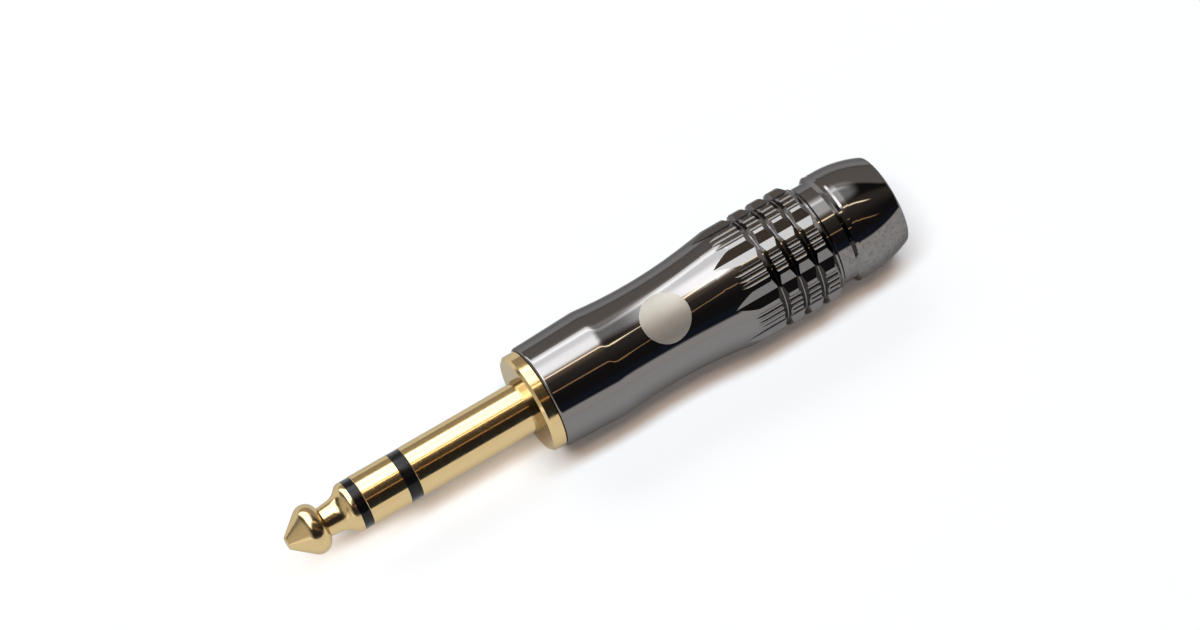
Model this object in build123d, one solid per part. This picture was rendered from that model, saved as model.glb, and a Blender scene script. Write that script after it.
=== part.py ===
from build123d import *
import math
import os

# A 6.35 mm stereo plug, in millimetres. The plug's axis is X, from the tip at -X to the tail at +X.
# x = 0 is the seating plane, where the collar stops against the jack, and +Z is up.

# Contacts in front of the seating plane
shank_radius = 3.175
sleeve_length = 15.2
rear_band_width = 1.45
ring_length = 5.1
front_band_width = 1.2
tip_length = 8.65
band_recess = 0.02

# Shape of the tip
nose_radius = 0.76
nose_edge = 0.25
ball_radius = 3.11
ball_curve = 1.5
ball_setback = 5.3
waist_radius = 1.83
neck_radius = 1.98
neck_setback = 2.35
shoulder_radius = 3.15
shoulder_curve_start = (0.95, 2.75)
shoulder_flat = 0.2

# Rod, insulating tubes and their fits, from the axis outwards
rod_radius = 0.8
rod_socket_depth = 3.2
tube_gap = 0.02
inner_tube_wall = 0.43
ring_tube_wall = 0.48
outer_tube_wall = 0.52
contact_edge = 0.08

# Collar, flange and threaded spigot of the sleeve contact
collar_length = 0.6
collar_radius = 3.35
flange_inset = 0.29
flange_thickness = 1.7
flange_chamfer = 0.33
flange_back_chamfer = 0.1
spigot_radius = 5.2
spigot_length = 6.3
spigot_undercut = 0.3
spigot_undercut_width = 0.6
spigot_chamfer = 0.3
boss_radius = 3.9
boss_length = 1.0
bush_seat_radius = 3.2
bush_seat_depth = 1.6
thread_clearance = 0.05

# Terminals and the stack that the rod nut clamps
bush_flange_radius = 3.9
bush_flange_thickness = 1.2
tag_thickness = 0.5
ring_tag_radius = 3.4
tip_tag_radius = 2.6
tag_width = 2.6
tag_bend = 0.35
tag_hole_radius = 0.65
ring_tag_reach = 6.6
tip_tag_reach = 7.2
ring_tube_flare = 0.4
ring_tube_flare_length = 0.25
tag_washer_radius = 2.7
tag_washer_thickness = 1.4
rod_washer_radius = 1.9
rod_washer_thickness = 0.4
rod_nut_across_flats = 3.2
rod_nut_thickness = 1.3
rod_end_length = 0.5
rod_end_chamfer = 0.2

# Sleeve tag with its trough and cable ears
sleeve_tag_thickness = 0.7
sleeve_tag_radius = 4.45
trough_thickness = 0.45
trough_arc = 64.0
trough_length = 14.5
ear_length = 3.6
ear_arc = 230.0
trough_slot_width = 1.6
trough_slot_length = 4.0

# Barrel outside
barrel_front_wall = 1.22
barrel_front_edge = 0.35
hump_setback = 8.3
hump_rise = 0.31
hump_edge = 6.0
waist_setback = 15.4
waist_drop = 0.09
flare_setback = 23.7
flare_rise = 0.5
grip_setback = 26.5
grip_front_radius = 7.35
grip_front_length = 2.67
grip_front_edge = 6.0
ring_radius = 7.39
ring_width = 1.3
ring_count = 3
groove_rear_slope = 0.74
groove_root_width = 0.14
groove_front_slope = 0.36
groove_depth = 0.62
tail_slope = (0.73, 0.64)
lip_radius = 6.68
lip_length = 0.4
lip_edge = 0.12

# Cuts across the grip
notch_count = 8
notch_root_radius = 7.0
notch_half_width = 1.2
notch_depth = 0.26
flute_spacing = 6.2
flute_root_radius = 7.22
flute_radius = 0.46
cutter_overrun = 0.5

# Barrel inside
liner_wall = 0.45
liner_clearance = 0.1
liner_end_gap = 0.3
bore_relief = 0.1
web_setback = 26.5
web_thickness = 1.6
web_hole_radius = 4.5
tail_bore_radius = 5.7
bore_chamfer = 0.3

# Cable collet
collet_clearance = 0.1
collet_collar_length = 2.0
collet_wall = 1.3
cable_radius = 3.6
jaw_cone_length = 1.6
jaw_cone_drop = 0.6
jaw_slot_count = 6
jaw_slot_width = 0.8
jaw_length = 8.6

# Tail nut
tail_thread_length = 6.0
tail_joint_edge = 0.18
neck_outer_radius = 6.37
neck_length = 1.93
bell_radius = 6.895
bell_front_slope = 0.4
bead_length = 0.45
bead_dip = 0.045
bead_rear_slope = 0.3
bell_land = 0.7
bell_length = 7.68
bell_end_radius = 5.62
bell_end_edge = 0.45
entry_radius = 3.9
entry_length = 2.5
mouth_radius = 4.9

# Places along the axis that several pieces share
rear_band_x = -sleeve_length - rear_band_width
ring_x = rear_band_x - ring_length
tip_rear_x = ring_x - front_band_width
nose_x = tip_rear_x - tip_length
flange_x = collar_length
spigot_x = flange_x + flange_thickness
spigot_end_x = spigot_x + spigot_length
boss_end_x = spigot_end_x + boss_length
bush_seat_x = boss_end_x - bush_seat_depth
ring_tag_x = boss_end_x + bush_flange_thickness
tag_washer_x = ring_tag_x + tag_thickness
tip_tag_x = tag_washer_x + tag_washer_thickness
rod_washer_x = tip_tag_x + tag_thickness
rod_nut_x = rod_washer_x + rod_washer_thickness
rod_end_x = rod_nut_x + rod_nut_thickness + rod_end_length

# Radii of the nested tubes
inner_tube_bore = rod_radius + tube_gap
inner_tube_radius = inner_tube_bore + inner_tube_wall
ring_tube_bore = inner_tube_radius + tube_gap
ring_tube_radius = ring_tube_bore + ring_tube_wall
outer_tube_bore = ring_tube_radius + tube_gap
outer_tube_radius = outer_tube_bore + outer_tube_wall
sleeve_bore = outer_tube_radius + tube_gap

# Places and radii of the barrel
barrel_thread_radius = spigot_radius + thread_clearance
barrel_front_radius = barrel_thread_radius + barrel_front_wall
flange_radius = barrel_front_radius - flange_inset
barrel_bore_radius = barrel_thread_radius + bore_relief
liner_radius = barrel_bore_radius - liner_clearance
liner_x = spigot_end_x + liner_end_gap
grip_x = spigot_x + grip_setback
grip_pitch = ring_width + groove_rear_slope + groove_root_width + groove_front_slope
rings_end_x = grip_x + grip_front_length + ring_count * grip_pitch
barrel_end_x = rings_end_x + tail_slope[0] + lip_length
web_x = spigot_x + web_setback
tail_bore_x = web_x + web_thickness
tail_thread_x = barrel_end_x - tail_thread_length
collet_x = tail_bore_x + collet_clearance
collet_collar_radius = tail_bore_radius - collet_clearance
jaw_radius = cable_radius + collet_wall
jaw_x = collet_x + collet_collar_length
jaw_end_x = jaw_x + jaw_length + jaw_cone_length


def turned(outline):
    """Revolve a closed half-section, given as (x, radius) points, about the plug's axis."""
    return revolve(make_face(Polyline(*outline, close=True)), axis=Axis.X)


def tube(x_start, x_end, bore, radius, edge=0.0):
    """A plain tube, with its outer edges broken by edge."""
    section = [(x_start, bore), (x_end, bore)]
    if edge:
        section += [(x_end, radius - edge), (x_end - edge, radius)]
        section += [(x_start + edge, radius), (x_start, radius - edge)]
    else:
        section += [(x_end, radius), (x_start, radius)]
    return turned(section)


def around_axis(solid, count, first_angle=0.0):
    """Copies of a solid, evenly spaced about the plug's axis."""
    return [solid.rotate(Axis.X, first_angle + turn * 360 / count) for turn in range(count)]


def tip_contact():
    """Conical nose, ball, waist and flared shoulder, with a blind socket for the rod."""
    ball_x = tip_rear_x - ball_setback
    ball_centre_radius = ball_radius - ball_curve
    run = ball_x - nose_x
    rise = ball_centre_radius - nose_radius
    slope = math.atan2(rise, run) + math.asin(ball_curve / math.hypot(run, rise))
    cone_end = (ball_x - ball_curve * math.sin(slope), ball_centre_radius + ball_curve * math.cos(slope))
    waist_inset = ball_centre_radius - waist_radius
    waist = (ball_x + math.sqrt(ball_curve**2 - waist_inset**2), waist_radius)
    neck_end = (tip_rear_x - neck_setback, neck_radius)
    flare_end = (tip_rear_x - shoulder_curve_start[0], shoulder_curve_start[1])
    shoulder = (tip_rear_x - shoulder_flat, shoulder_radius)
    socket_x = tip_rear_x - rod_socket_depth

    cone = Line((nose_x, nose_radius), cone_end)
    ball = ThreePointArc(cone_end, (ball_x, ball_radius), waist)
    neck = Line(waist, neck_end)
    flare = TangentArc(neck_end, flare_end, tangent=neck % 1)
    crown = TangentArc(flare_end, shoulder, tangent=flare % 1)
    back = Polyline(
        shoulder,
        (tip_rear_x, shoulder_radius),
        (tip_rear_x, rod_radius),
        (socket_x, rod_radius),
        (socket_x, 0),
        (nose_x, 0),
        (nose_x, nose_radius),
    )
    section = make_face(cone + ball + neck + flare + crown + back)
    nose_corner = section.vertices().sort_by_distance((nose_x, nose_radius, 0))[0]
    return revolve(fillet(nose_corner, nose_edge), axis=Axis.X)


def centre_rod():
    """Rod that holds the tip and carries its signal to the tip tag."""
    return tube(tip_rear_x - rod_socket_depth, rod_end_x, 0, rod_radius, rod_end_chamfer)


def ring_contact():
    """Ring with its long tube, whose end is flared over the ring tag."""
    flare_x = ring_tag_x + tag_thickness
    end_x = flare_x + ring_tube_flare_length
    return turned(
        [
            (ring_x, ring_tube_bore),
            (ring_x, shank_radius - contact_edge),
            (ring_x + contact_edge, shank_radius),
            (rear_band_x - contact_edge, shank_radius),
            (rear_band_x, shank_radius - contact_edge),
            (rear_band_x, ring_tube_radius),
            (flare_x, ring_tube_radius),
            (flare_x, ring_tube_radius + ring_tube_flare),
            (end_x, ring_tube_radius + ring_tube_flare / 2),
            (end_x, ring_tube_bore),
        ]
    )


def sleeve_contact():
    """Sleeve, collar, flange and threaded spigot, turned in one piece."""
    thread_start_x = spigot_x + spigot_undercut_width
    undercut_radius = spigot_radius - spigot_undercut
    return turned(
        [
            (-sleeve_length, sleeve_bore),
            (-sleeve_length, shank_radius - contact_edge),
            (-sleeve_length + contact_edge, shank_radius),
            (0, shank_radius),
            (0, collar_radius),
            (flange_x, collar_radius),
            (flange_x, flange_radius - flange_chamfer),
            (flange_x + flange_chamfer, flange_radius),
            (spigot_x - flange_back_chamfer, flange_radius),
            (spigot_x, flange_radius - flange_back_chamfer),
            (spigot_x, undercut_radius),
            (thread_start_x, undercut_radius),
            (thread_start_x, spigot_radius),
            (spigot_end_x - spigot_chamfer, spigot_radius),
            (spigot_end_x, spigot_radius - spigot_chamfer),
            (spigot_end_x, boss_radius),
            (boss_end_x, boss_radius),
            (boss_end_x, bush_seat_radius),
            (bush_seat_x, bush_seat_radius),
            (bush_seat_x, sleeve_bore),
        ]
    )


def rear_bush():
    """Shouldered bush that keeps the ring tag off the sleeve contact."""
    neck_bush_radius = bush_seat_radius - tube_gap
    return turned(
        [
            (bush_seat_x, outer_tube_bore),
            (bush_seat_x, neck_bush_radius),
            (boss_end_x, neck_bush_radius),
            (boss_end_x, bush_flange_radius),
            (ring_tag_x, bush_flange_radius),
            (ring_tag_x, outer_tube_bore),
        ]
    )


def solder_tag(x_start, hole_radius, eye_radius, reach, direction):
    """Eyelet with a tail that bends back along the cable, direction degrees about the axis."""
    tail_end_x = x_start + reach
    half_width = tag_width / 2
    inner_corner = (x_start + tag_thickness, eye_radius - tag_thickness)
    side = Polyline(
        (x_start, 0),
        (x_start, eye_radius),
        (tail_end_x, eye_radius),
        (tail_end_x, inner_corner[1]),
        inner_corner,
        (inner_corner[0], 0),
        close=True,
    )
    profile = make_face(side)
    outer_bend = profile.vertices().sort_by_distance((x_start, eye_radius, 0))[0]
    profile = fillet(outer_bend, tag_bend + tag_thickness)
    inner_bend = profile.vertices().sort_by_distance((*inner_corner, 0))[0]
    profile = fillet(inner_bend, tag_bend)
    tail = extrude(profile, amount=half_width, both=True)
    across = Plane(origin=(tail_end_x - half_width, 0, 0), z_dir=(0, 1, 0))
    through = 4 * eye_radius
    straight = Box(reach - half_width, through, tag_width, align=(Align.MIN, Align.CENTER, Align.CENTER))
    round_end = across * Cylinder(half_width, through)
    tail = tail & (round_end + straight.translate((x_start, 0, 0)))
    eyelet = tube(x_start, x_start + tag_thickness, hole_radius, eye_radius - tag_bend)
    eye_hole = tube(x_start, tail_end_x, 0, hole_radius)
    solder_hole = across * Cylinder(tag_hole_radius, through)
    return (tail + eyelet - eye_hole - solder_hole).rotate(Axis.X, direction)


def tag_washer():
    """Insulating washer between the two tags, recessed over the flared ring tube."""
    recess_radius = ring_tube_radius + ring_tube_flare + tube_gap
    recess_x = tag_washer_x + ring_tube_flare_length + tube_gap
    return turned(
        [
            (tag_washer_x, recess_radius),
            (tag_washer_x, tag_washer_radius),
            (tip_tag_x, tag_washer_radius),
            (tip_tag_x, inner_tube_bore),
            (recess_x, inner_tube_bore),
            (recess_x, recess_radius),
        ]
    )


def rod_nut():
    """Hexagon nut that clamps the stack on the rod."""
    hexagon = RegularPolygon(rod_nut_across_flats / 2, 6, major_radius=False)
    nut = Plane.YZ.offset(rod_nut_x) * extrude(hexagon - Circle(rod_radius), rod_nut_thickness)
    return nut


def trough_section(x_start, x_end, arc):
    """A strip curved about the axis, centred below it, spanning arc degrees."""
    outer = sleeve_tag_radius
    inner = outer - trough_thickness
    corners = [(x_start, inner), (x_end, inner), (x_end, outer), (x_start, outer)]
    strip = make_face(Polyline(*corners, close=True))
    return revolve(strip, axis=Axis.X, revolution_arc=arc).rotate(Axis.X, -90 - arc / 2)


def sleeve_tag():
    """Ground tag: a ring on the spigot's boss, a trough below the wires and two cable ears."""
    ring_end_x = spigot_end_x + sleeve_tag_thickness
    trough_end_x = ring_end_x + trough_length
    ring = tube(spigot_end_x, ring_end_x, boss_radius, sleeve_tag_radius)
    trough = trough_section(spigot_end_x, trough_end_x, trough_arc)
    ears = trough_section(trough_end_x - ear_length, trough_end_x, ear_arc)
    slot_x = ring_end_x + (trough_length - ear_length) / 2
    slot = Box(trough_slot_length, trough_slot_width, 2 * sleeve_tag_thickness)
    slot = slot.translate((slot_x, 0, -sleeve_tag_radius))
    boss_room = tube(spigot_end_x, ring_end_x, 0, boss_radius)
    return ring + trough + ears - slot - boss_room


def barrel_outline():
    """Outer edge of the barrel's half-section, from its front face to its rear face."""
    front = (spigot_x, barrel_front_radius)
    hump = (spigot_x + hump_setback, barrel_front_radius + hump_rise)
    waist = (spigot_x + waist_setback, barrel_front_radius - waist_drop)
    flare = (spigot_x + flare_setback, barrel_front_radius + flare_rise)
    sweep_in = Line(front, hump)
    waist_curve = ThreePointArc(hump, waist, flare)
    grip_curve = TangentArc(flare, (grip_x, grip_front_radius), tangent=waist_curve % 1)
    points = [(grip_x, grip_front_radius)]
    land_end_x = grip_x + grip_front_length
    land_radius = grip_front_radius
    root_radius = ring_radius - groove_depth
    for ring in range(ring_count):
        root_x = land_end_x + groove_rear_slope
        ring_start_x = root_x + groove_root_width + groove_front_slope
        points += [(land_end_x, land_radius), (root_x, root_radius)]
        points += [(root_x + groove_root_width, root_radius), (ring_start_x, ring_radius)]
        land_end_x = ring_start_x + ring_width
        land_radius = ring_radius
    lip_x = land_end_x + tail_slope[0]
    points += [(land_end_x, ring_radius), (lip_x, ring_radius - tail_slope[1]), (lip_x, lip_radius)]
    points += [(barrel_end_x - lip_edge, lip_radius), (barrel_end_x, lip_radius - lip_edge)]
    return sweep_in + waist_curve + grip_curve + Polyline(*points)


def barrel_bores():
    """Inner edge of the barrel's half-section, from its rear face back to its front face."""
    thread_end_x = spigot_end_x + bore_relief
    return Polyline(
        (barrel_end_x, lip_radius - lip_edge),
        (barrel_end_x, tail_bore_radius + bore_chamfer),
        (barrel_end_x - bore_chamfer, tail_bore_radius),
        (tail_bore_x, tail_bore_radius),
        (tail_bore_x, web_hole_radius),
        (web_x, web_hole_radius),
        (web_x, barrel_bore_radius),
        (thread_end_x, barrel_bore_radius),
        (thread_end_x, barrel_thread_radius),
        (spigot_x + bore_chamfer, barrel_thread_radius),
        (spigot_x, barrel_thread_radius + bore_chamfer),
        (spigot_x, barrel_front_radius),
    )


def grip_cutter(section):
    """A cutter along the grip, whose section lies above the axis."""
    x_start = spigot_x + waist_setback
    return Plane.YZ.offset(x_start) * extrude(section, barrel_end_x - x_start)


def notch_section():
    """A V with its root line above the axis."""
    reach = ring_radius - notch_root_radius + cutter_overrun
    spread = notch_half_width * reach / notch_depth
    top = notch_root_radius + reach
    return make_face(Polyline((0, notch_root_radius), (spread, top), (-spread, top), close=True))


def barrel():
    """Waisted barrel with its ringed grip, eight V notches and three round flutes between each pair."""
    section = make_face(barrel_outline() + barrel_bores())
    corners = (
        (spigot_x, barrel_front_radius, barrel_front_edge),
        (spigot_x + hump_setback, barrel_front_radius + hump_rise, hump_edge),
        (grip_x, grip_front_radius, grip_front_edge),
    )
    for x, radius, edge in corners:
        corner = section.vertices().sort_by_distance((x, radius, 0))[0]
        section = fillet(corner, edge)
    body = revolve(section, axis=Axis.X)
    flute = grip_cutter(Circle(flute_radius).translate((0, flute_root_radius + flute_radius, 0)))
    cutters = around_axis(grip_cutter(notch_section()), notch_count)
    half_sector = 180 / notch_count
    for offset in (-flute_spacing, 0, flute_spacing):
        cutters += around_axis(flute, notch_count, half_sector + offset)
    return body - cutters


def insulating_liner():
    """Clear tube that lines the barrel around the terminals."""
    return tube(liner_x, web_x - liner_end_gap, liner_radius - liner_wall, liner_radius)


def collet():
    """Slotted collet that the tail nut closes on the cable."""
    cone_x = jaw_end_x - jaw_cone_length
    body = turned(
        [
            (collet_x, cable_radius + bore_chamfer),
            (collet_x, collet_collar_radius),
            (jaw_x, collet_collar_radius),
            (jaw_x, jaw_radius),
            (cone_x, jaw_radius),
            (jaw_end_x, jaw_radius - jaw_cone_drop),
            (jaw_end_x, cable_radius),
            (collet_x + bore_chamfer, cable_radius),
        ]
    )
    slot_length = jaw_end_x - jaw_x
    slot = Box(slot_length, jaw_slot_width, 2 * jaw_radius, align=(Align.MIN, Align.CENTER, Align.MIN))
    return body - around_axis(slot.translate((jaw_x + jaw_slot_width, 0, 0)), jaw_slot_count)


def tail_nut():
    """Bell-shaped nut: threaded spigot, neck, beaded bell and flared cable mouth."""
    nut_thread_radius = tail_bore_radius - thread_clearance
    nut_bore = jaw_radius + collet_clearance
    bell_x = barrel_end_x + neck_length
    bead_x = bell_x + bell_front_slope
    dip_x = bead_x + bead_length
    land_x = dip_x + bead_rear_slope
    end_x = bell_x + bell_length
    cone_slope = jaw_cone_drop / jaw_cone_length
    cone_x = jaw_end_x - jaw_cone_length + collet_clearance
    entry_x = cone_x + (nut_bore - entry_radius) / cone_slope
    mouth_x = entry_x + entry_length
    front = Polyline(
        (tail_thread_x, nut_bore),
        (tail_thread_x, nut_thread_radius - bore_chamfer),
        (tail_thread_x + bore_chamfer, nut_thread_radius),
        (barrel_end_x, nut_thread_radius),
        (barrel_end_x, neck_outer_radius + tail_joint_edge),
        (barrel_end_x + tail_joint_edge, neck_outer_radius),
        (bell_x, neck_outer_radius),
        (bead_x, bell_radius),
        (dip_x, bell_radius - bead_dip),
        (land_x, bell_radius),
        (land_x + bell_land, bell_radius),
    )
    bell = TangentArc((land_x + bell_land, bell_radius), (end_x, bell_end_radius), tangent=(1, 0))
    rear_face = Line((end_x, bell_end_radius), (end_x, mouth_radius))
    mouth = TangentArc((mouth_x, entry_radius), (end_x, mouth_radius), tangent=(1, 0))
    inside = Polyline(
        (mouth_x, entry_radius), (entry_x, entry_radius), (cone_x, nut_bore), (tail_thread_x, nut_bore)
    )
    section = make_face(front + bell + rear_face + mouth + inside)
    rim = section.vertices().sort_by_distance((end_x, bell_end_radius, 0))[0]
    return revolve(fillet(rim, bell_end_edge), axis=Axis.X)


def front_band():
    """Black ring between the tip and the ring contact."""
    return tube(tip_rear_x, ring_x, inner_tube_radius + tube_gap, shoulder_radius - band_recess)


def rear_band():
    """Black ring between the ring contact and the sleeve."""
    return tube(rear_band_x, -sleeve_length, sleeve_bore, shank_radius - band_recess)


def inner_tube():
    """Insulation between the rod and the ring contact's tube."""
    end_x = tag_washer_x + ring_tube_flare_length
    return tube(tip_rear_x, end_x, inner_tube_bore, inner_tube_radius)


nodes = {
    "tip_contact": tip_contact(),
    "centre_rod": centre_rod(),
    "tip_insulating_ring": front_band(),
    "inner_insulating_tube": inner_tube(),
    "ring_contact": ring_contact(),
    "sleeve_insulating_ring": rear_band(),
    "outer_insulating_tube": tube(rear_band_x, bush_seat_x, outer_tube_bore, outer_tube_radius),
    "sleeve_contact": sleeve_contact(),
    "rear_insulating_bush": rear_bush(),
    "ring_tag": solder_tag(ring_tag_x, outer_tube_bore, ring_tag_radius, ring_tag_reach, 20.0),
    "tag_insulating_washer": tag_washer(),
    "tip_tag": solder_tag(tip_tag_x, inner_tube_bore, tip_tag_radius, tip_tag_reach, 160.0),
    "rod_washer": tube(rod_washer_x, rod_nut_x, inner_tube_bore, rod_washer_radius),
    "rod_nut": rod_nut(),
    "sleeve_tag": sleeve_tag(),
    "insulating_liner": insulating_liner(),
    "barrel": barrel(),
    "collet": collet(),
    "tail_nut": tail_nut(),
}

os.makedirs("parts", exist_ok=True)
for name, solid in nodes.items():
    export_step(solid, f"parts/{name}.step")
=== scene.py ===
import math

import bpy
from mathutils import Matrix, Vector
from mathutils.bvhtree import BVHTree


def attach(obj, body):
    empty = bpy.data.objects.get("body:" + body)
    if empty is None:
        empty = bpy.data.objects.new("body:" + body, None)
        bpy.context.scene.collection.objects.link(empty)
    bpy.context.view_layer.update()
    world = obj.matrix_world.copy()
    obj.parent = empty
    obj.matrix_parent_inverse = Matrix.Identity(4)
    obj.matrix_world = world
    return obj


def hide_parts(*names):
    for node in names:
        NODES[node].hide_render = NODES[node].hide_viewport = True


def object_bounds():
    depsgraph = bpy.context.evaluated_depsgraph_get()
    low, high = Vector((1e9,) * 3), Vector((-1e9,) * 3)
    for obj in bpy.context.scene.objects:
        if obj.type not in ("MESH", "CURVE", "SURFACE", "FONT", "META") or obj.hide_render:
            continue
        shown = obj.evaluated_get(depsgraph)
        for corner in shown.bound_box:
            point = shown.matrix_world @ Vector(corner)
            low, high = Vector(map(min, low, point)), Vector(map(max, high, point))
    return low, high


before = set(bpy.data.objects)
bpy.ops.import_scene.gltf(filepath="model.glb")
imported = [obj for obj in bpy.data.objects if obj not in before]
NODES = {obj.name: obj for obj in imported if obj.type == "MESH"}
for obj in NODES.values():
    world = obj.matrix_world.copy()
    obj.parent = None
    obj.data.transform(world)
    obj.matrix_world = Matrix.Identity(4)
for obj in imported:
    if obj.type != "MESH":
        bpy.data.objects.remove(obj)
CAD_LOW, CAD_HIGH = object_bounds()

MM = 0.001
AXIS = Vector((1, 0, 0))

# The camera is placed from the front of the flange: that is how far it lies from the picture's
# middle, to the right and down, and how far in
SENSOR_MM = 36.0
LENS_MM = 150.0
CAMERA_SEES = (0.01, 10)
PICTURE_TURN = math.radians(29.94)
AXIS_TILT = math.radians(12.2)
FACING_ANGLE = 67.5
FLANGE_FACE = Vector((0.6, 0, 0)) * MM
FLANGE_RIGHT = -8.476 * MM
FLANGE_DOWN = 10.405 * MM
FLANGE_DEPTH = 577.4 * MM

# Threads, cut where the CAD pieces have plain cylinders of these radii. The flats of crest and
# root are a share of the pitch, and the mesh has so many rows of faces to the pitch.
SPIGOT_RADIUS = 5.2 * MM
TAIL_RADIUS = 5.65 * MM
RADIUS_ERROR = 0.002 * MM
THREAD_PITCH = 0.75 * MM
THREAD_DEPTH = 0.34 * MM
THREAD_FLAT = 0.12
THREAD_RUNOUT = 0.45 * MM
THREAD_ROWS = 12
SLOPE_STEP = 0.01

# Etched disc on the barrel
DISC_X = 18.6 * MM
DISC_ANGLE = 74.7
DISC_RADIUS = 3.05 * MM
DISC_LIFT = 0.008 * MM
DISC_RINGS = 16
DISC_SPOKES = 96

# Colours. An edge below 1 takes brightness from a metal's grazing reflections
GOLD = (0.64, 0.48, 0.245)
GOLD_EDGE = 0.6
BLACK_CHROME = (0.2, 0.19, 0.185)
CHROME_EDGE = 0.4
ETCHED = (0.4, 0.372, 0.328)
TINNED = (0.74, 0.7, 0.63)
STEEL = (0.6, 0.6, 0.6)
BLACK_PLASTIC = (0.003, 0.003, 0.0035)
WHITE_PLASTIC = (0.78, 0.77, 0.72)
COLLET_PLASTIC = (0.03, 0.03, 0.032)
CLEAR_PLASTIC = (0.86, 0.9, 0.92)

# Dust on the black chrome. It is thickest where these two ranges, along and across, have been
# passed, and a share of that elsewhere. Its noise gives dark specks, clean plate and pale specks.
DUST_TAIL = (39.5 * MM, 41.5 * MM)
DUST_FRONT = (-5.0 * MM, -3.0 * MM)
DUST_ELSEWHERE = 0.22
DUST_SCALE = 2300
DUST_DETAIL = 6.0
DUST_DARK = (0.155, 0.139, 0.131)
DUST_PALE = (0.23, 0.216, 0.209)
DUST_STOPS = ((0.34, DUST_DARK), (0.48, BLACK_CHROME), (0.53, BLACK_CHROME), (0.68, DUST_PALE))

# Noise as coarse one way as another, and noise drawn out about the axis into turning lines
EVEN = (1, 1, 1)
TURNED = (6, 0.4, 0.4)

# Noise that varies roughness or colour: its scale, as a share of the fine grain's, and the two
# levels between which it counts
METAL_WEAR = 0.35
METAL_LEVELS = (0.35, 0.7)
PLASTIC_WEAR = 0.5
PLASTIC_SHADE = 0.2
PLASTIC_DARKEST = 0.8
PLASTIC_LEVELS = (0.3, 0.7)

# Floor. Between two distances from its middle it goes from white in the lamps' light, with a
# faint glow as a lift, to a plain pale glow. Polished metal sees it darken to a share of that
# between two distances behind the plug: painted shade, which the camera itself doesn't see.
FLOOR_HALF = 2.0
FLOOR_WHITE = 0.9
FLOOR_ROUGHNESS = 0.9
FLOOR_LIT = (0.16, 0.5)
FLOOR_LIFT = 0.04
BEHIND = (0.05, 0.2)
PAINTED_SHADE_SHARE = 0.4
PALE = 1.0

# The studio's angles are in degrees: about the plug's axis from -Y over +Z, and along it towards
# +X. Lamps: the angles each spans about the axis, its radiance and colour, and whether the slim
# contacts stop its light
LAMP_DISTANCE = 1.0
LAMPS_ALONG = math.radians(25)
LAMPS = {
    "key_near": ((75, 85.5), 4.5, (1.35, 1.0, 0.75), False),
    "key_far": ((85.5, 96), 12.0, (0.93, 1.02, 1.07), False),
    "key_cool": ((85.5, 96), 2.4, (0.5, 1.0, 1.5), True),
    "back_key": ((122, 142), 1.7, (1, 1, 1), False),
}

# The room: its colour, and the fill that falls on everything dull from in front
ROOM = (0.026, 0.024, 0.025)
FILL = (0.2, 0.16, 0.14)
FILL_ABOUT = (-1, 0, 78, 92)

# What polished metal sees in the room. Each card has four limits across and four along, its colour,
# and how far its near and far edges lean, in degrees about the axis for each degree along it.
ALL_ALONG = (-91, -90, 90, 91)
CARDS = {
    "softbox": ((92, 101, 153, 158), (-34, -26, 7, 20), (2.85, 2.95, 3.05), (-0.5, 0.8)),
    "softbox_near": ((90, 102, 116, 130), (-34, -26, 3, 14), (1.9, 1.95, 2.0), (-0.9, 0.0)),
    "softbox_far": ((142, 145, 149, 152), (-34, -26, 10, 28), (1.6, 1.7, 1.75), (0.8, 0.8)),
    "softbox_halo": ((86, 103, 153, 166), (4, 14, 22, 34), (0.6, 0.6, 0.6), (-0.5, 0.8)),
    "warm_glow": ((80, 98, 101, 106), (-50, -35, 8, 20), (0.45, 0.33, 0.21), (0.0, 0.0)),
    "warm_haze": ((50, 88, 92, 106), ALL_ALONG, (0.09, 0.075, 0.06), (0.0, 0.0)),
    "strip_high": ((96.5, 97.6, 98.8, 99.9), (-40, -30, 30, 40), (4.8, 4.0, 2.8), (0.4, 0.4)),
    "strip_low": ((65.1, 66.0, 66.9, 67.8), (-10, 0, 30, 40), (1.3, 0.75, 0.33), (0.6, 0.6)),
    "back_wall": ((149, 156, 186, 200), ALL_ALONG, (0.4, 0.36, 0.33), (0.7, 0.0)),
    "front_sweep": ((-12, -8, 13.5, 18.5), ALL_ALONG, (1.0, 0.97, 0.95), (0.0, 0.0)),
    "blue_wall": ((14, 20, 28, 36), ALL_ALONG, (0.0, 0.01, 0.03), (0.0, 0.0)),
    "tip_side": ((-5, 5, 175, 185), (-91, -90, -62, -40), (0.6, 0.58, 0.54), (0.0, 0.0)),
}


def around(angle):
    """The direction out from the plug's axis at an angle that rises from -Y over +Z."""
    turn = math.radians(angle)
    return Vector((0, -math.cos(turn), math.sin(turn)))


def show(name, data):
    """A new object with this data, in the scene."""
    shown = bpy.data.objects.new(name, data)
    bpy.context.scene.collection.objects.link(shown)
    return shown


def smooth_mesh(name, points, faces, finish):
    """A smooth mesh with one material."""
    mesh = bpy.data.meshes.new(name)
    mesh.from_pydata(points, [], faces)
    mesh.polygons.foreach_set("use_smooth", [True] * len(faces))
    mesh.materials.append(finish)
    return mesh


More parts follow.
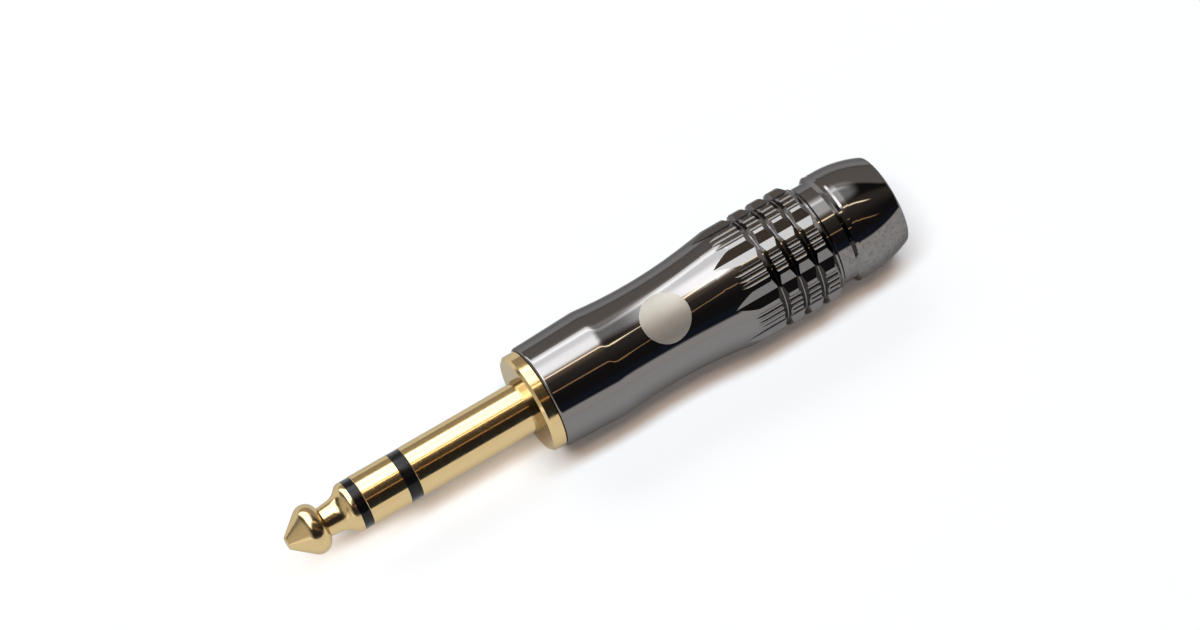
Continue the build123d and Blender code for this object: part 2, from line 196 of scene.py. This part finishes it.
class Tree:
    """A node tree, with short ways to add and join nodes."""

    def __init__(self, owner):
        owner.use_nodes = True
        self.tree = owner.node_tree

    def add(self, kind, **settings):
        """A new node, with its settings or the values of its unlinked sockets."""
        node = self.tree.nodes.new("ShaderNode" + kind)
        for key, value in settings.items():
            if key in node.inputs:
                node.inputs[key].default_value = value
            else:
                setattr(node, key, value)
        return node

    def join(self, source, target):
        self.tree.links.new(source, target)

    def split(self, vector):
        """The X, Y and Z of a vector."""
        parts = self.add("SeparateXYZ")
        self.join(vector, parts.inputs[0])
        return parts.outputs

    def math(self, operation, *values):
        """The result of an operation on numbers and sockets."""
        node = self.add("Math", operation=operation)
        for socket, value in zip(node.inputs, values):
            if isinstance(value, (int, float)):
                socket.default_value = value
            else:
                self.join(value, socket)
        return node.outputs[0]

    def smooth(self, value, start, end, low=0.0, high=1.0):
        """Rises smoothly from low at start to high at end."""
        step = self.add("MapRange", interpolation_type="SMOOTHSTEP")
        limits = {"From Min": start, "From Max": end, "To Min": low, "To Max": high}
        for key, limit in limits.items():
            step.inputs[key].default_value = limit
        self.join(value, step.inputs["Value"])
        return step.outputs["Result"]

    def window(self, near, span, far):
        """1 between the two middle limits of span, 0 outside its outer ones, and smooth between."""
        rise = self.smooth(near, span[0], span[1])
        fall = self.smooth(far, span[2], span[3], 1.0, 0.0)
        return self.math("MULTIPLY", rise, fall)

    def rays(self):
        """The kinds of ray, each 1 or 0."""
        return self.add("LightPath").outputs

    def unlit(self):
        """1 where a surface is seen or mirrored, and 0 where its light falls on something dull."""
        rays = self.rays()
        seen = self.math("MAXIMUM", rays["Is Camera Ray"], rays["Is Glossy Ray"])
        return self.math("MAXIMUM", seen, rays["Is Transmission Ray"])


class Material(Tree):
    """A material's node tree. Sockets of its shader are set or joined by name."""

    def __init__(self, name):
        self.material = bpy.data.materials.new(name)
        super().__init__(self.material)
        self.shader = self.tree.nodes["Principled BSDF"]

    def set(self, **values):
        """Uniform values on the shader's own sockets, where _ stands for a space."""
        for key, value in values.items():
            self.shader.inputs[key.replace("_", " ")].default_value = value

    def feed(self, source, socket):
        self.join(source, self.shader.inputs[socket])

    def position(self):
        return self.add("TexCoord").outputs["Object"]

    def noise(self, scale, detail=3.0, stretch=EVEN):
        mapping = self.add("Mapping", Scale=stretch)
        self.join(self.position(), mapping.inputs["Vector"])
        noise = self.add("TexNoise", Scale=scale, Detail=detail)
        self.join(mapping.outputs[0], noise.inputs["Vector"])
        return noise.outputs["Fac"]

    def ramp(self, source, *stops):
        """A ramp of (place, value) stops, where a value is a grey or a colour."""
        ramp = self.add("ValToRGB")
        elements = ramp.color_ramp.elements
        while len(elements) < len(stops):
            elements.new(0.5)
        for element, (place, value) in zip(elements, stops):
            element.position = place
            element.color = (*value, 1) if isinstance(value, tuple) else (value, value, value, 1)
        self.join(source, ramp.inputs["Fac"])
        return ramp.outputs["Color"]

    def bump(self, height, distance):
        """Unevenness whose full height is this distance."""
        bump = self.add("Bump", Distance=distance, Strength=1.0)
        self.join(height, bump.inputs["Height"])
        self.feed(bump.outputs["Normal"], "Normal")


def metal(name, colour, roughness, spread, grain, scale, stretch=EVEN, edge=1.0):
    """Plated metal. Its roughness varies by spread, and grain is the height of fine waves."""
    m = Material(name)
    m.set(Base_Color=(*colour, 1), Metallic=1.0, Specular_Tint=(edge, edge, edge, 1))
    wear = m.noise(scale * METAL_WEAR, 4.0, stretch)
    m.feed(m.ramp(wear, *zip(METAL_LEVELS, (roughness, roughness + spread))), "Roughness")
    m.bump(m.noise(scale, 2.0, stretch), grain)
    return m


def gold(name, roughness):
    """Polished gold plate with faint turning lines."""
    return metal(
        name, GOLD, roughness, spread=0.07, grain=0.0015 * MM, scale=900, stretch=TURNED,
        edge=GOLD_EDGE,
    ).material


def black_chrome():
    """Dark mirror plate with the slightest waviness, and fine specks of dust.

    There is more dust on the tail's front side.
    """
    m = metal(
        "black_chrome", BLACK_CHROME, 0.035, spread=0.03, grain=0.0012 * MM, scale=420,
        edge=CHROME_EDGE,
    )
    place = m.split(m.position())
    front = m.smooth(place["Y"], *DUST_FRONT, 1.0, 0.0)
    tail = m.smooth(place["X"], *DUST_TAIL)
    dusty = m.math("MAXIMUM", m.math("MULTIPLY", front, tail), DUST_ELSEWHERE)
    specks = m.math("SUBTRACT", m.noise(DUST_SCALE, DUST_DETAIL), 0.5)
    specks = m.math("ADD", m.math("MULTIPLY", specks, dusty), 0.5)
    m.feed(m.ramp(specks, *DUST_STOPS), "Base Color")
    return m.material


def etched():
    """Satin patch where the plate is etched away."""
    m = metal("etched_disc", ETCHED, 0.43, spread=0.08, grain=0.008 * MM, scale=2600)
    m.set(Metallic=0.7)
    return m.material


def moulded(name, colour, roughness, spread, grain, scale, shine=0.5):
    """Moulded plastic with a fine uneven surface."""
    m = Material(name)
    m.set(Specular_IOR_Level=shine)
    dark = tuple(channel * PLASTIC_DARKEST for channel in colour)
    shade = m.noise(scale * PLASTIC_SHADE)
    m.feed(m.ramp(shade, *zip(PLASTIC_LEVELS, (dark, colour))), "Base Color")
    wear = m.noise(scale * PLASTIC_WEAR)
    m.feed(m.ramp(wear, *zip(PLASTIC_LEVELS, (roughness, roughness + spread))), "Roughness")
    m.bump(m.noise(scale), grain)
    return m.material


def clear_liner():
    """Milky clear tube."""
    m = Material("clear_liner")
    m.set(Transmission_Weight=0.75, IOR=1.46, Base_Color=(*CLEAR_PLASTIC, 1))
    m.feed(m.ramp(m.noise(300), *zip(PLASTIC_LEVELS, (0.18, 0.3))), "Roughness")
    return m.material


def dress_frame():
    """Every CAD node gets the finish of its real piece."""
    black = moulded(
        "black_insulator", BLACK_PLASTIC, 0.13, spread=0.15, grain=0.03 * MM, scale=1100, shine=0.25
    )
    white = moulded(
        "white_insulator", WHITE_PLASTIC, 0.4, spread=0.1, grain=0.004 * MM, scale=900
    )
    collet = moulded(
        "collet_plastic", COLLET_PLASTIC, 0.38, spread=0.12, grain=0.005 * MM, scale=900
    )
    tinned = metal("tinned_brass", TINNED, 0.24, spread=0.14, grain=0.006 * MM, scale=700).material
    steel = metal("plain_steel", STEEL, 0.2, spread=0.1, grain=0.003 * MM, scale=900).material
    finishes = {
        gold("gold_tip", 0.16): ("tip_contact",),
        gold("gold_sleeve", 0.09): ("ring_contact", "sleeve_contact"),
        black: ("tip_insulating_ring", "sleeve_insulating_ring", "rear_insulating_bush"),
        white: ("inner_insulating_tube", "outer_insulating_tube", "tag_insulating_washer"),
        steel: ("centre_rod", "rod_washer", "rod_nut"),
        tinned: ("ring_tag", "tip_tag", "sleeve_tag"),
        clear_liner(): ("insulating_liner",),
        black_chrome(): ("barrel", "tail_nut"),
        collet: ("collet",),
    }
    for finish, names in finishes.items():
        for name in names:
            mesh = NODES[name].data
            mesh.materials.clear()
            mesh.materials.append(finish)


class Thread:
    """A right-hand V thread cut into a cylinder between two places along the axis."""

    def __init__(self, radius, start, end):
        self.radius, self.start, self.end = radius, start, end
        self.rows = round((end - start) / THREAD_PITCH * THREAD_ROWS)
        self.step = (end - start) / self.rows

    def at(self, x, turn):
        """The surface at a place along the axis and an angle about it. It runs out at both ends."""
        cut = 1 - abs(2 * ((x / THREAD_PITCH - turn / math.tau) % 1) - 1)
        cut = min(max((cut - THREAD_FLAT) / (1 - 2 * THREAD_FLAT), 0), 1)
        cut *= min(1, (x - self.start) / THREAD_RUNOUT, (self.end - x) / THREAD_RUNOUT)
        reach = self.radius - THREAD_DEPTH * cut
        return Vector((x, math.cos(turn) * reach, math.sin(turn) * reach))

    def upright(self, place):
        """The direction straight out of the surface, from its slopes along and about the axis."""
        turn = math.atan2(place.z, place.y)
        x = min(max(place.x, self.start + self.step), self.end - self.step)
        along = self.at(x + self.step / 2, turn) - self.at(x - self.step / 2, turn)
        about = self.at(x, turn + SLOPE_STEP) - self.at(x, turn - SLOPE_STEP)
        return about.cross(along).normalized()


def threaded(node, radius, body):
    """Stands for a CAD piece, with a thread cut into its plain cylinder of this radius.

    The rest of the piece keeps its corners and their directions, so it looks as it did.
    """
    source = NODES[node].data
    points = [v.co.copy() for v in source.vertices]
    on_cylinder = {
        i for i, p in enumerate(points) if abs(math.hypot(p.y, p.z) - radius) < RADIUS_ERROR
    }
    start = min(points[i].x for i in on_cylinder)
    end = max(points[i].x for i in on_cylinder)
    middle = (start + end) / 2
    thread = Thread(radius, start, end)

    faces, normals, cut_away = [], [], set()
    for polygon in source.polygons:
        corners = tuple(polygon.vertices)
        from_end_to_end = len({points[i].x < middle for i in corners}) == 2
        if from_end_to_end and on_cylinder.issuperset(corners):
            cut_away.update(corners)
            continue
        faces.append(corners)
        normals.extend(source.corner_normals[loop].vector.copy() for loop in polygon.loop_indices)

    def rim(first):
        """The cylinder's corners at one end, once each, in order about the axis."""
        at = {}
        for i in cut_away:
            if (points[i].x < middle) == first:
                at.setdefault(round(math.atan2(points[i].z, points[i].y) % math.tau, 3), i)
        return [i for _, i in sorted(at.items())]

    grid = [rim(True)]
    turns = [math.atan2(points[i].z, points[i].y) for i in grid[0]]
    for row in range(1, thread.rows):
        grid.append(range(len(points), len(points) + len(turns)))
        points.extend(thread.at(start + thread.step * row, turn) for turn in turns)
    grid.append(rim(False))
    for lower, upper in zip(grid, grid[1:]):
        for column in range(len(turns)):
            after = (column + 1) % len(turns)
            corners = (lower[column], lower[after], upper[after], upper[column])
            faces.append(corners)
            normals.extend(thread.upright(points[i]) for i in corners)

    used = sorted({i for corners in faces for i in corners})
    order = {i: place for place, i in enumerate(used)}
    faces = [[order[i] for i in corners] for corners in faces]
    name = f"{node}_threaded"
    mesh = smooth_mesh(name, [points[i] for i in used], faces, source.materials[0])
    mesh.normals_split_custom_set(normals)
    piece = show(name, mesh)
    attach(piece, body)
    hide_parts(node)
    return piece


def etched_disc():
    """A thin disc that follows the barrel's surface, where the plate is etched."""
    mesh = NODES["barrel"].data
    corners = [v.co.copy() for v in mesh.vertices]
    barrel = BVHTree.FromPolygons(corners, [tuple(p.vertices) for p in mesh.polygons])
    out = around(DISC_ANGLE)
    side = AXIS.cross(out)
    clear = CAD_HIGH.y * 2

    def lifted(radius, turn):
        """The place just above the barrel at a distance and an angle from the disc's middle."""
        across = AXIS * (DISC_X + radius * math.cos(turn)) + side * radius * math.sin(turn)
        place, normal, _, _ = barrel.ray_cast(across + out * clear, -out)
        return place + normal * DISC_LIFT

    points = [lifted(0, 0)]
    for ring in range(1, DISC_RINGS + 1):
        radius = DISC_RADIUS * ring / DISC_RINGS
        points.extend(lifted(radius, math.tau * i / DISC_SPOKES) for i in range(DISC_SPOKES))
    faces = []
    for spoke in range(DISC_SPOKES):
        after = (spoke + 1) % DISC_SPOKES
        faces.append((0, 1 + spoke, 1 + after))
        for inner in range(1, len(points) - DISC_SPOKES, DISC_SPOKES):
            outer = inner + DISC_SPOKES
            faces.append((inner + spoke, outer + spoke, outer + after, inner + after))
    disc = show("etched_disc", smooth_mesh("etched_disc", points, faces, etched()))
    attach(disc, "barrel")


def floor():
    """Plain white floor. Polished metal sees painted shade on it, darkening it well behind the
    object.
    """
    m = Material("floor")
    m.set(Roughness=FLOOR_ROUGHNESS, Specular_IOR_Level=0.0, Emission_Color=(1, 1, 1, 1))
    length = m.add("VectorMath", operation="LENGTH")
    m.join(m.position(), length.inputs[0])
    away = length.outputs["Value"]
    # Painted shade: every ray but the camera's sees the floor darker behind the plug
    behind = m.smooth(m.split(m.position())["Y"], *BEHIND, 1.0, PAINTED_SHADE_SHARE)
    shown = m.math("MAXIMUM", behind, m.rays()["Is Camera Ray"])
    lit = m.math("MULTIPLY", m.smooth(away, *FLOOR_LIT, 1.0, 0.0), shown)
    m.feed(m.math("MULTIPLY", lit, FLOOR_WHITE), "Base Color")
    glow = m.math("MULTIPLY", m.smooth(away, *FLOOR_LIT, FLOOR_LIFT, PALE), shown)
    m.feed(m.math("MULTIPLY", m.unlit(), glow), "Emission Strength")
    sides = [(-1, -1), (1, -1), (1, 1), (-1, 1)]
    corners = [(x * FLOOR_HALF, y * FLOOR_HALF, CAD_LOW.z) for x, y in sides]
    plane = show("floor", smooth_mesh("floor", corners, [(0, 1, 2, 3)], m.material))


def lamp(name, angles, radiance, colour, past):
    """A soft lamp over the plug, for the floor and all that is dull.

    What polished metal mirrors are the room's cards. The pieces in past throw no shadow here.
    """
    low, high = (math.radians(angle) for angle in angles)
    inward = -around(math.degrees((low + high) / 2))
    light = bpy.data.lights.new(name, "AREA")
    light.shape = "RECTANGLE"
    light.size = 2 * math.tan(LAMPS_ALONG) * LAMP_DISTANCE
    light.size_y = 2 * math.tan((high - low) / 2) * LAMP_DISTANCE
    light.color = colour
    light.energy = radiance * math.pi * light.size * light.size_y
    shown = show(name, light)
    turn = Matrix((AXIS, -AXIS.cross(inward), -inward)).transposed()
    shown.matrix_world = Matrix.Translation(-inward * LAMP_DISTANCE) @ turn.to_4x4()
    shown.visible_glossy = False
    if past:
        unshaded = bpy.data.collections.new(f"past_{name}")
        for piece in past:
            unshaded.objects.link(piece)
        for member in unshaded.collection_objects:
            member.light_linking.link_state = "EXCLUDE"
        shown.light_linking.blocker_collection = unshaded


def room():
    """The room's cards for polished metal, a fill for everything dull, and a pale backdrop."""
    world = bpy.data.worlds.new("room")
    t = Tree(world)
    toward = t.split(t.add("TexCoord").outputs["Generated"])
    front = t.math("MULTIPLY", toward["Y"], -1.0)
    about = t.math("DEGREES", t.math("ARCTAN2", toward["Z"], front))
    along = t.math("DEGREES", t.math("ARCSINE", toward["X"]))
    total = t.add("RGB").outputs[0]
    total.default_value = (*ROOM, 1)
    for across_span, along_span, colour, leans in CARDS.values():
        near, far = (t.math("ADD", about, t.math("MULTIPLY", along, lean)) for lean in leans)
        across_share = t.window(near, across_span, far)
        share = t.math("MULTIPLY", across_share, t.window(along, along_span, along))
        lit = t.add("VectorMath", operation="MULTIPLY_ADD")
        t.join(share, lit.inputs[0])
        lit.inputs[1].default_value = colour
        t.join(total, lit.inputs[2])
        total = lit.outputs[0]
    cards = t.add("Background")
    t.join(total, cards.inputs["Color"])
    fill = t.add("Background", Color=(*FILL, 1))
    t.join(t.window(about, FILL_ABOUT, about), fill.inputs["Strength"])
    pale = t.add("Background", Color=(PALE, PALE, PALE, 1))

    def either(share, without, with_it):
        """One background or another, by a share."""
        mix = t.add("MixShader")
        t.join(share, mix.inputs["Fac"])
        t.join(without.outputs[0], mix.inputs[1])
        t.join(with_it.outputs[0], mix.inputs[2])
        return mix

    mirrored = either(t.unlit(), fill, cards)
    shown = either(t.rays()["Is Camera Ray"], mirrored, pale)
    t.join(shown.outputs[0], t.tree.nodes["World Output"].inputs["Surface"])
    bpy.context.scene.world = world


def studio(slim):
    """A white floor and soft lamps, in a dark room with a softbox behind and a sweep in front.

    The photograph is bright enough to wash out the shadow of the slim gold contacts. So only one
    lamp's light is stopped by them.
    """
    floor()
    room()
    for name, (angles, radiance, colour, stopped) in LAMPS.items():
        lamp(name, angles, radiance, colour, () if stopped else slim)


def camera():
    """The photograph's camera, set by the place of the flange's face in the picture."""
    facing = around(FACING_ANGLE)
    inward = AXIS * math.sin(AXIS_TILT) - facing * math.cos(AXIS_TILT)
    along = AXIS * math.cos(AXIS_TILT) + facing * math.sin(AXIS_TILT)
    across = AXIS.cross(facing)
    right = along * math.cos(PICTURE_TURN) + across * math.sin(PICTURE_TURN)
    down = across * math.cos(PICTURE_TURN) - along * math.sin(PICTURE_TURN)
    data = bpy.data.cameras.new("camera")
    data.sensor_width = SENSOR_MM
    data.lens = LENS_MM
    data.clip_start, data.clip_end = CAMERA_SEES
    shown = show("camera", data)
    place = FLANGE_FACE - right * FLANGE_RIGHT - down * FLANGE_DOWN - inward * FLANGE_DEPTH
    turn = Matrix((right, -down, -inward)).transposed()
    shown.matrix_world = Matrix.Translation(place) @ turn.to_4x4()
    bpy.context.scene.camera = shown


dress_frame()
sleeve = threaded("sleeve_contact", SPIGOT_RADIUS, "contacts")
threaded("tail_nut", TAIL_RADIUS, "tail_nut")
etched_disc()
bands = ("tip_contact", "tip_insulating_ring", "ring_contact", "sleeve_insulating_ring")
studio([NODES[node] for node in bands] + [sleeve])
camera()
bpy.context.scene.view_settings.view_transform = "Standard"
